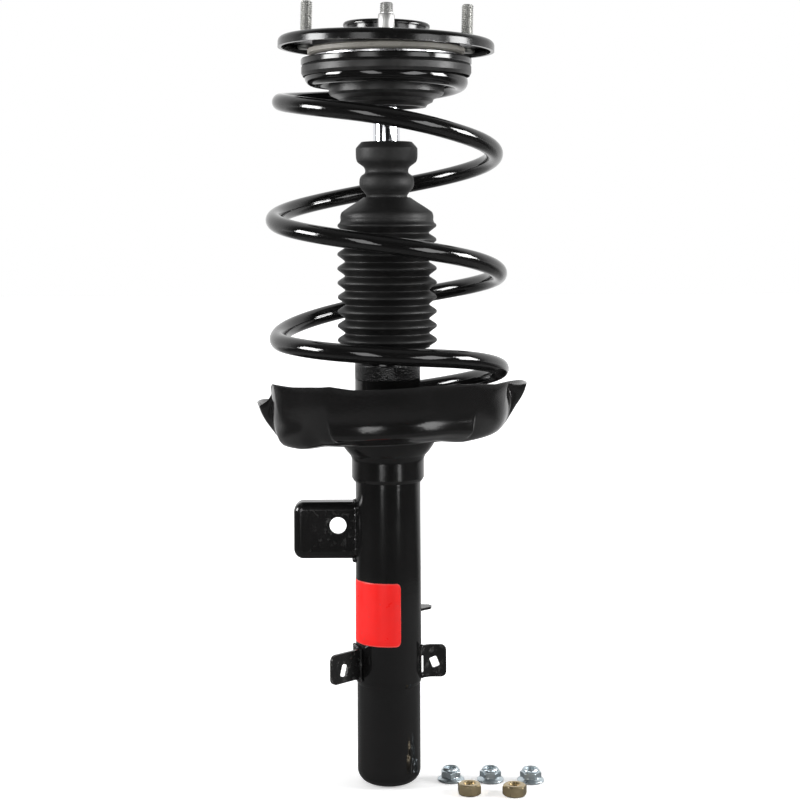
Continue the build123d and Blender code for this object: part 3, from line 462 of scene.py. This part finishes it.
def build_bump_stop():
    """The foam stop on the rod: a collar, a neck, a round bead and a long tail inside the boot."""
    outside = [
        (11.6, 518.0), (19.6, 518.0), (21.2, 517.2), (24.6, 513.4), (25.1, 511.6), (25.0, 506.0),
        (24.5, 503.2), (23.4, 501.2), (19.2, 498.0), (17.9, 496.0), (17.6, 494.0), (18.2, 492.4),
        (20.6, 490.6), (21.8, 488.4), (22.2, 485.6), (22.0, 482.6), (20.8, 479.8), (18.8, 477.6),
        (17.5, 475.8), (16.7, 474.0), (16.6, 466.0), (15.2, 459.2), (11.6, 459.2),
    ]
    profile = smooth_line(outside, 4) + [(11.45, 462 + 5.3 * k) for k in range(10)]

    def lumps(turn, radius, height):
        if radius < 14:
            return 0.0
        return 0.16 * noise.noise(Vector((cos(turn) * 2.2, sin(turn) * 2.2, height * 0.09)))

    vertices, faces = lathe(profile, 128, lumps)
    piece = new_piece("bump_stop_foam", vertices, faces, foam)
    sharpen(piece, 50)
    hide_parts("bump_stop")
    set_weights(piece)


def build_boot():
    """The bellows: a shoulder, nine rounded ridges and the skin's inside."""
    ridges, pitch, top = 9, 11.6, 450.0
    outside = [(18.3, 473.0), (19.6, 472.6), (24, 469.6), (30, 465.8), (35.2, 462.3), (37.1, 460.6)]
    outside += [(37.9, 458.2), (38.0, 456.4), (37.9, 454.6)]
    for ridge in range(ridges):
        z = top - ridge * pitch
        outside += [(38.7, z + 2.5), (39.9, z + 1.5), (40.4, z + 0.4), (40.3, z - 0.6), (39.3, z - 1.6)]
        if ridge < ridges - 1:
            outside += [(36.6, z - 3.6), (34.8, z - 5.1), (34.4, z - 5.9), (35.0, z - 6.7), (36.9, z - 7.9)]
    z = top - (ridges - 1) * pitch
    outside += [(36.6, z - 3.4), (34.9, z - 4.6), (34.5, z - 5.6), (34.4, 351.4)]
    outside = smooth_line(outside, 3)
    skin = 1.3
    inside = []
    for i, (radius, height) in enumerate(outside):
        before, after = outside[max(i - 1, 0)], outside[min(i + 1, len(outside) - 1)]
        dr, dz = after[0] - before[0], after[1] - before[1]
        size = sqrt(dr * dr + dz * dz) or 1.0
        inside.append((radius + dz / size * skin, min(max(height - dr / size * skin, 351.4), 471.9)))

    def lumps(turn, radius, height):
        soft = 0.22 * noise.noise(Vector((cos(turn) * 1.4, sin(turn) * 1.4, height * 0.03)))
        return soft - 0.12

    vertices, faces = lathe(outside + inside[::-1], 144, lumps)
    piece = new_piece("dust_boot_bellows", vertices, faces, boot_rubber)
    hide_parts("dust_boot")
    set_weights(piece)


build_bump_stop()
build_boot()

# ------------------------------------------------------------------ lower spring seat

seat_turn = Matrix.Translation((0, 0, SEAT_HEIGHT * MM)) @ Matrix.Rotation(radians(SEAT_TILT), 4, "Y")
# degrees round the pan: the tall wall, the box pressed in it, and the lifts of its rim in millimetres
near_start, near_end = 196.0, 350.0
box_start, box_end = 242.0, 311.0
pan_shift = 3.0
rim_turns = (196, 203, 225, 235, 245, 255, 290, 310, 325, 350)
rim_lifts = (3.2, 3.2, 3.6, 5.0, 6.0, 4.2, 4.0, 2.0, -1.2, -1.5)


def window(angle, start, end, soft):
    """1 between the two angles and 0 outside, with a smooth step `soft` degrees wide at each end."""
    rising = share(angle, start - soft / 2, start + soft / 2)
    falling = 1 - share(angle, end - soft / 2, end + soft / 2)
    value = min(rising, falling)
    return value * value * (3 - 2 * value)


def pan_profile(angle):
    """Outside of the pan at `angle`, from the hole to the rim: (radius, height over the underside)."""
    turn = radians(angle)
    left, right, near_side = max(0.0, -cos(turn)), max(0.0, cos(turn)), max(0.0, -sin(turn))
    near_rim = 46.0 + 4.5 * share(left, 0.0, 0.97) ** 2 - 1.5 * right**2 - 1.6 * near_side**3
    near_rim += float(np.interp(angle, rim_turns, rim_lifts))
    # both ends of the tall wall curl in
    curl = 1 - share(min(abs(angle - near_start), abs(near_end - angle)), 0, 14)
    near_rim -= 3.0 * curl
    if angle < 270:
        near_rim -= 10.0 * curl**1.5
    far_rim = 11.5 + 27.0 * abs(cos(turn)) ** 1.7 - 3.5 * share(left, 0.6, 0.95)
    floor = [(27.3, 0), (50, 0), (70, 0)]
    near = floor + [(79, 0), (85.5, 1.2), (90.2, 4.6), (93.6, 9.6), (96.2, 15.5), (98.4, 22.5)]
    near += [(100.2, 30), (101.8, 38), (103.4, near_rim - 1.5), (104.2, near_rim)]
    boxed = floor + [(79, 0), (85, 1.4), (91, 4.2), (96, 6.9), (98.4, 9.6), (98.9, 16.5)]
    boxed += [(99.0, 22), (101, 33), (103.2, near_rim - 1.5), (104.0, near_rim)]
    near = [(r - 7.0 * curl * share(h, 20, near_rim) ** 1.5, h) for r, h in near]
    # the lower left corner of the wall is fuller, and the floor rises a little towards the box
    full = window(angle, 198, 228, 10)
    near = [(r + 4.5 * full * share(r, 70, 85) * (1 - share(h, 4, 24)), h) for r, h in near]
    rise = 3.6 * window(angle, 224, 304, 20)
    near = [(r, h + rise * share(r, 50, 79) * (1 - share(h, 4, 24))) for r, h in near]
    boxed = [(r, h + rise * share(r, 50, 79) * (1 - share(h, 4, 24))) for r, h in boxed]
    line = [(79, 0), (86, 1.6), (92, 6.2), (97, 13.5), (102, 21), (107, 27.6), (111, 34.5), (112.5, 40)]
    heights = [p[1] for p in line]
    # the left ear stands in a little further than the right one
    radii = [p[0] - 4.0 * share(left, 0.6, 0.95) * share(p[1], 22, 34) for p in line]
    far = list(floor)
    for k in range(10):
        height = far_rim * (k / 9) ** 1.4
        far.append((float(np.interp(height, heights, radii)), height))
    in_near = window(angle, near_start, near_end, 5.0)
    in_box = window(angle, box_start, box_end, 3.0)
    out = []
    for n, b, f in zip(near, boxed, far):
        wall = [n[i] + (b[i] - n[i]) * in_box for i in (0, 1)]
        out.append(tuple(f[i] + (wall[i] - f[i]) * in_near for i in (0, 1)))
    return smooth_line(out, 3)


def build_pan():
    """The pressed pan, one skin of sheet with its rim rounded."""
    steps = 480
    vertices, faces = [], []
    for step in range(steps):
        angle = 360 * step / steps
        turn = radians(angle)
        profile = pan_profile(angle)
        rows = len(profile)
        for k, (radius, height) in enumerate(profile):
            ripple = 0.35 * noise.noise(Vector((cos(turn) * 2.4, sin(turn) * 2.4, height * 0.04)))
            ripple *= share(radius, 60, 95)
            shift = pan_shift * share(radius, 28, 50)
            point = Vector(((radius + ripple) * cos(turn) + shift, (radius + ripple) * sin(turn), height))
            vertices.append(seat_turn @ (point * MM))
    for step in range(steps):
        here, there = step * rows, (step + 1) % steps * rows
        for k in range(rows - 1):
            faces.append((here + k, there + k, there + k + 1, here + k + 1))
    pan = new_piece("lower_seat_pan", vertices, faces, seat_paint)
    solid = pan.modifiers.new("sheet", "SOLIDIFY")
    solid.thickness = 2.8 * MM
    solid.offset = -1.0
    solid.use_even_offset = True
    solid.thickness_clamp = 1.0
    bevel = pan.modifiers.new("rim", "BEVEL")
    bevel.width = 0.7 * MM
    bevel.segments = 2
    bevel.limit_method = "ANGLE"
    bevel.angle_limit = radians(50)
    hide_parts("lower_spring_seat")
    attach(pan, "strut_body")


build_pan()

# ------------------------------------------------------------------ threads, studs and nuts


def tooth(phase):
    """A thread's flank, from 0 at the crest to 1 at the root."""
    return 1 - abs(2 * (phase % 1.0) - 1)


def turned(rows, radius_at, steps=72, close_loop=False, place=None):
    """A shape whose radius depends on the turn, the height and the row. rows are heights in millimetres."""
    vertices, faces = [], []
    for row, height in enumerate(rows):
        for step in range(steps):
            turn = 2 * pi * step / steps
            radius = radius_at(turn, height, row)
            vertices.append(Vector((radius * cos(turn), radius * sin(turn), height)) * MM)
    count = len(rows)
    for row in range(count if close_loop else count - 1):
        here, there = row * steps, (row + 1) % count * steps
        for step in range(steps):
            after = (step + 1) % steps
            faces.append((here + step, here + after, there + after, there + step))
    if not close_loop:
        faces.append(tuple(reversed(range(steps))))
        tail = (count - 1) * steps
        faces.append(tuple(range(tail, tail + steps)))
    if place is not None:
        vertices = [place @ v for v in vertices]
    return vertices, faces


def join(parts):
    """Several (vertices, faces) shapes as one."""
    vertices, faces = [], []
    for more, cells in parts:
        base = len(vertices)
        vertices += more
        faces += [tuple(base + i for i in cell) for cell in cells]
    return vertices, faces


mount_turn = Matrix.Translation((0, 0, PLATE_HEIGHT * MM)) @ Matrix.Rotation(radians(PLATE_TILT), 4, "Y")
stud_circle = 77.7


def stud_place(angle):
    """The frame of the stud at `angle`, on the plate's top face."""
    turn = radians(angle)
    return mount_turn @ Matrix.Translation((stud_circle * cos(turn) * MM, stud_circle * sin(turn) * MM, 0))


def stud_head(height):
    """The radius of the head under the plate, with a chamfer at its bottom."""
    return 7.05 - 1.5 * share(-height, 4.5, 6.0)


def build_studs():
    """Two long threaded studs and the short one with a plain shoulder."""

    def long_stud(turn, height, _):
        if height < -3.0:
            return stud_head(height)
        end = 1.4 * share(height, 33.1, 34.5) + 0.05
        start = share(height, 1.5, 3.0) * (1 - share(height, 33.5, 34.5))
        return 5.08 - max(end, 0.78 * tooth(height / 1.5 - turn / (2 * pi)) * start)

    head = [-6.0, -5.7, -5.2, -4.9, -4.2, -3.4, -3.0001]
    rows = head + [-2.99, 0.0] + list(np.arange(0.4, 34.55, 0.1875)) + [34.6]
    vertices, faces = join([turned(rows, long_stud, place=stud_place(a)) for a in (30, 150)])
    studs = new_piece("threaded_studs", vertices, faces, phosphate, "top_mount")
    sharpen(studs, 35)
    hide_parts("body_studs")

    def shouldered(turn, height, _):
        if height < -3.0:
            return stud_head(height)
        if height < 11.201:
            return 6.38 - 0.75 * share(height, 10.4, 11.2)
        end = 1.2 * share(height, 18.7, 19.7) + 0.05
        start = share(height, 11.6, 12.4)
        return 5.15 - max(end, 0.8 * tooth(height / 1.5 - turn / (2 * pi)) * start)

    rows = head + [-2.99, 0.0, 5.0, 10.3, 10.6, 10.9, 11.2, 11.202]
    rows += list(np.arange(11.4, 19.65, 0.1875)) + [19.7]
    vertices, faces = turned(rows, shouldered, place=stud_place(270))
    stud = new_piece("shouldered_stud", vertices, faces, bright, "top_mount")
    sharpen(stud, 35)
    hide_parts("locating_stud")


def hexagon(turn, flat):
    """Distance from the centre to a hexagon's side, for a hexagon `flat` wide across its flats."""
    local = (turn + pi / 6) % (pi / 3) - pi / 6
    return flat / 2 / cos(local)


def nut_rows(height, pitch=1.25):
    """Rows up the outside and then down the bore, so that the loop closes."""
    outside = [0.0, 0.35, 0.7, 1.1, 1.5, 2.0, 2.6, 3.2, 3.8, 4.6, 5.6, 6.6]
    outside += list(np.arange(7.0, height - 0.05, 0.25)) + [height]
    inside = list(np.arange(height, 0.0, -pitch / 8)) + [0.0]
    return outside, inside


def nut_mesh(height, flat, place, spin, flange=None, crown=None):
    """A nut that stands on the floor: with a flange of that radius, and a round crown above `crown`."""
    outside, inside = nut_rows(height)
    rows = outside + inside
    edge = len(outside)
    corner = flat / 2 / cos(pi / 6)

    def radius_at(turn, level, row):
        if row >= edge:
            chamfer = max(0.9 - level, 0.0, level - (height - 0.9))
            lead = 0.72 * tooth(level / 1.25 - turn / (2 * pi))
            return max(4.28 + 0.72 - lead, 4.28 + chamfer)
        cone_top = corner - 2.2 * share(level, (crown or height) - 1.6, crown or height) ** 1.3
        cone_low = corner if flange else corner - 1.2 * (1 - share(level, 0.0, 1.2))
        size = min(hexagon(turn, flat), cone_top, cone_low)
        if crown and level > crown - 0.01:
            size = 6.7 - 0.9 * share(level, crown, height) ** 2
        if flange:
            skirt = (flange - 0.5, flange, flange, flange - 0.6, 7.6, 0)
            size = max(size, float(np.interp(level, (0, 0.5, 1.3, 1.8, 3.4, 3.5), skirt)))
        return size

    standing = Matrix.Translation((place[0] * MM, place[1] * MM, 0)) @ Matrix.Rotation(radians(spin), 4, "Z")
    return turned(rows, radius_at, steps=96, close_loop=True, place=standing)


def build_nuts():
    """Three flange nuts and two plain ones, loose beside the strut."""
    parts = [
        nut_mesh(10.5, 15.0, place, spin, flange=10.9, crown=8.6)
        for place, spin in (((50, 0), 0), ((82, -1), 26), ((114.5, -3), 20))
    ]
    vertices, faces = join(parts)
    nuts = new_piece("flange_nuts_zinc", vertices, faces, blue_zinc, "strut_body")
    sharpen(nuts, 28)
    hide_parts("mount_flange_nuts")
    parts = [nut_mesh(8.4, 17.0, place, spin) for place, spin in (((63.5, -33), 6), ((99, -36), 38))]
    vertices, faces = join(parts)
    nuts = new_piece("plain_nuts_yellow", vertices, faces, yellow_zinc, "strut_body")
    sharpen(nuts, 28)
    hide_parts("link_nuts")


build_studs()
build_nuts()

# ------------------------------------------------------------------ label and weld beads


def build_label():
    """The sticker, with rounded corners and edges that lie down on the tube."""
    start, arc = 130.0, 161.7
    low, high, corner, skin_radius = 114.2, 164.8, 4.0, TUBE_RADIUS + 0.24
    length = radians(arc) * skin_radius
    across, up = 150, 48
    vertices, faces = [], []
    for i in range(across + 1):
        along = length * i / across
        inset = corner - min(corner, along, length - along)
        cut = corner - sqrt(max(corner * corner - inset * inset, 0.0))
        bottom, top = low + cut, high - cut
        turn = radians(start) + along / skin_radius
        for j in range(up + 1):
            height = bottom + (top - bottom) * j / up
            edge = min(along, length - along, height - low, high - height)
            ripple = 0.05 * noise.noise(Vector((along * 0.12, height * 0.12, 3.1)))
            radius = skin_radius - 0.1 * (1 - share(edge, 0.0, 1.0)) + ripple
            vertices.append(Vector((radius * cos(turn), radius * sin(turn), height)) * MM)
    for i in range(across):
        for j in range(up):
            a = i * (up + 1) + j
            faces.append((a, a + up + 1, a + up + 2, a + 1))
    sticker = new_piece("blank_label", vertices, faces, vinyl, "strut_body")
    solid = sticker.modifiers.new("film", "SOLIDIFY")
    solid.thickness = 0.12 * MM
    solid.offset = -1.0
    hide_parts("label")


def weld(name, points, size, seed):
    """A fillet weld: a lumpy bead along the points (millimetres), with ripples of solidified metal."""
    line = smooth_line([tuple(p) for p in points], 10)
    path = [Vector(p) * MM for p in line]
    sides, vertices, faces = 14, [], []
    run = 0.0
    for i, point in enumerate(path):
        along = (path[min(i + 1, len(path) - 1)] - path[max(i - 1, 0)]).normalized()
        run += (path[i] - path[i - 1]).length / MM if i else 0.0
        up = Vector((0, 0, 1)) if abs(along.z) < 0.9 else Vector((0, 1, 0))
        side = along.cross(up).normalized()
        up = side.cross(along)
        ends = min(1.0, 0.35 + min(i, len(path) - 1 - i) / 4)
        ripple = 0.13 * abs(sin(run * 2.1 + seed)) + 0.25 * noise.noise(Vector((run * 0.4, seed, 0)))
        radius = size * (1 + ripple) * ends
        for k in range(sides):
            turn = 2 * pi * k / sides
            vertices.append(point + (side * cos(turn) + up * sin(turn)) * radius * MM)
    for i in range(len(path) - 1):
        for k in range(sides):
            j = (k + 1) % sides
            faces.append((i * sides + k, i * sides + j, (i + 1) * sides + j, (i + 1) * sides + k))
    faces.append(tuple(reversed(range(sides))))
    tail = (len(path) - 1) * sides
    faces.append(tuple(range(tail, tail + sides)))
    return new_piece(name, vertices, faces, seat_paint, "strut_body")


def ring_points(radius, height, start=0.0, end=360.0, step=10.0):
    """Points of a level ring or arc about the strut's axis."""
    return [
        (radius * cos(radians(a)), radius * sin(radians(a)), height)
        for a in np.arange(start, end + 0.01, step)
    ]


def build_welds():
    """The beads that hold the neck, the link bracket, the ears and the tab on the tube."""
    weld("neck_weld", ring_points(TUBE_RADIUS + 0.6, 245.0), 1.1, seed=1.0)
    # link bracket: its face edge, its top and bottom flanges
    weld("link_weld_face", [(-26.2, -5.4, z) for z in (184, 190, 200, 209, 217, 223)], 1.5, seed=2.0)
    weld("link_weld_top", [(-26.9, y, 226.2 - 0.02 * y * y) for y in (-4, -1, 3, 7, 11)], 1.8, seed=3.0)
    weld("link_weld_low", [(-26.9, y, 179.6) for y in (-4, -1, 3, 7, 11)], 2.1, seed=4.0)
    # ears
    weld("wire_weld_top", ring_points(TUBE_RADIUS + 1.3, 110.6, 180, 214, 6), 1.2, seed=5.0)
    weld("wire_weld_low", ring_points(TUBE_RADIUS + 1.3, 86.9, 180, 214, 6), 1.2, seed=6.0)
    weld("hose_weld_top", [(26.4, -5.6, 107.5), (27.0, -5.4, 109.5), (27.4, -4.6, 111.0)], 1.1, seed=7.0)
    weld("hose_weld_low", [(26.4, -5.6, 88.0), (27.0, -5.4, 86.0), (27.4, -4.6, 84.4)], 1.1, seed=8.0)
    weld("tab_weld", ring_points(TUBE_RADIUS + 0.1, 134.4, 20, 50, 6), 1.1, seed=9.0)


build_label()
build_welds()

# ------------------------------------------------------------------ floor, light and camera


def build_stage():
    """A wide pale floor, just under the strut."""
    low = cad_box[0].z - 0.0004
    vertices = [(-9, -9, low), (9, -9, low), (9, 9, low), (-9, 9, low)]
    t = Tree("pale_floor")
    ray = t.node("ShaderNodeLightPath")
    mirrored, seen = ray.outputs["Is Glossy Ray"], ray.outputs["Is Camera Ray"]
    tone = t.mix(t.noise(1.5), (0.9, 0.9, 0.9), (0.94, 0.94, 0.94))
    # seen in the strut's own paint the floor is painted dim near the strut and almost black further out:
    # painted shade that keeps its reflection dark
    across = t.math("POWER", t.height("X"), 2.0)
    deep = t.math("POWER", t.height("Y"), 2.0)
    distance = t.math("SQRT", t.math("ADD", across, deep))
    mirror_shade = t.ramp(distance, 0.68, 0.84, 0.74, 0.98)
    tone = t.mix(t.math("MULTIPLY", mirrored, mirror_shade), tone, (0.0, 0.0, 0.0))
    floor = new_piece("floor", vertices, [(0, 1, 2, 3)], t.finish(tone, 0.9, specular=0.1), smooth=False)
    # away from the strut the floor glows like the backdrop behind it, so that no horizon shows
    t.bsdf.inputs["Emission Color"].default_value = (1, 1, 1, 1)
    # for the camera the floor also glows at 0.4 right by the strut: painted light that lifts the strut's
    # shadow on it
    round_glow = t.math("MULTIPLY", seen, t.ramp(distance, 0.15, 1.0, 0.4, 1.0))
    glow = t.math("MAXIMUM", round_glow, t.ramp(t.height("Y"), 0.1, 0.9, 0.22, 1.0))
    dim_glow = t.ramp(t.height("Y"), 0.4, 1.2, 0.0, 1.0)
    glow = t.math("MULTIPLY", t.math("SUBTRACT", 1.0, mirrored), glow)
    t.put(t.math("ADD", t.math("MULTIPLY", mirrored, dim_glow), glow), t.bsdf.inputs["Emission Strength"])


def area_light(name, azimuth, distance, height, size, power):
    """A soft box that faces the strut, `azimuth` degrees to the right of the camera's side."""
    turn = radians(azimuth)
    place = Vector((distance * sin(turn), -distance * cos(turn), height))
    data = bpy.data.lights.new(name, "AREA")
    data.shape = "RECTANGLE"
    data.size, data.size_y = size
    data.energy = power
    lamp = bpy.data.objects.new(name, data)
    lamp.location = place
    lamp.rotation_euler = (Vector((0, 0, height)) - place).to_track_quat("-Z", "Z").to_euler()
    bpy.context.scene.collection.objects.link(lamp)
    return lamp


def build_light():
    """Four soft boxes round the strut and a white backdrop behind it, dark on the camera's side."""
    boxes = (
        ("left_box", -78, 1.5, 0.68, (0.62, 0.62), 34), ("left_strip", -21, 1.6, 0.50, (0.55, 1.0), 8),
        ("right_strip", 40, 1.55, 0.50, (0.65, 1.0), 11), ("right_box", 80, 1.5, 0.68, (0.62, 0.62), 34),
    )
    for name, azimuth, distance, height, size, power in boxes:
        # each box mirrors at full strength and lights more weakly, as a wider and weaker panel would
        area_light(name, azimuth, distance, height, size, power).visible_diffuse = False
        area_light(name + "_fill", azimuth, distance, height, size, 0.6 * power).visible_glossy = False
    world = bpy.data.worlds.new("studio")
    bpy.context.scene.world = world
    world.use_nodes = True
    tree = world.node_tree
    back = tree.nodes["Background"]
    ray = tree.nodes.new("ShaderNodeLightPath")
    look = tree.nodes.new("ShaderNodeTexCoord")
    split = tree.nodes.new("ShaderNodeSeparateXYZ")
    tree.links.new(look.outputs["Generated"], split.inputs["Vector"])

    def span(socket, low, high, first, last):
        made = tree.nodes.new("ShaderNodeMapRange")
        made.interpolation_type = "SMOOTHSTEP"
        for key, value in (("From Min", low), ("From Max", high), ("To Min", first), ("To Max", last)):
            made.inputs[key].default_value = value
        tree.links.new(socket, made.inputs["Value"])
        return made.outputs["Result"]

    def largest(a, b):
        made = tree.nodes.new("ShaderNodeMath")
        made.operation = "MAXIMUM"
        tree.links.new(a, made.inputs[0])
        tree.links.new(b, made.inputs[1])
        return made.outputs[0]

    behind = span(split.outputs["Y"], 0.05, 0.5, 0.02, 1.0)
    above = span(split.outputs["Z"], 0.55, 0.95, 0.02, 0.22)
    level = largest(largest(behind, above), ray.outputs["Is Camera Ray"])
    tree.links.new(level, back.inputs["Strength"])
    back.inputs["Color"].default_value = (1, 1, 1, 1)


def build_camera():
    """A long lens, level and a little above the pan, shifted to frame the whole strut."""
    data = bpy.data.cameras.new("camera")
    data.sensor_fit = "HORIZONTAL"
    data.sensor_width = 36.0
    data.lens = 76.5
    data.shift_x = 13.1 / 800
    data.shift_y = -178 / 800
    camera = bpy.data.objects.new("camera", data)
    camera.matrix_world = (
        Matrix.Translation((0.0, -1.38, 0.453)) @ Matrix.Rotation(radians(90), 4, "X")
        @ Matrix.Rotation(radians(-0.246), 4, "Z")
    )
    bpy.context.scene.collection.objects.link(camera)
    bpy.context.scene.camera = camera


build_stage()
build_light()
build_camera()
bpy.context.scene.view_settings.view_transform = "Standard"
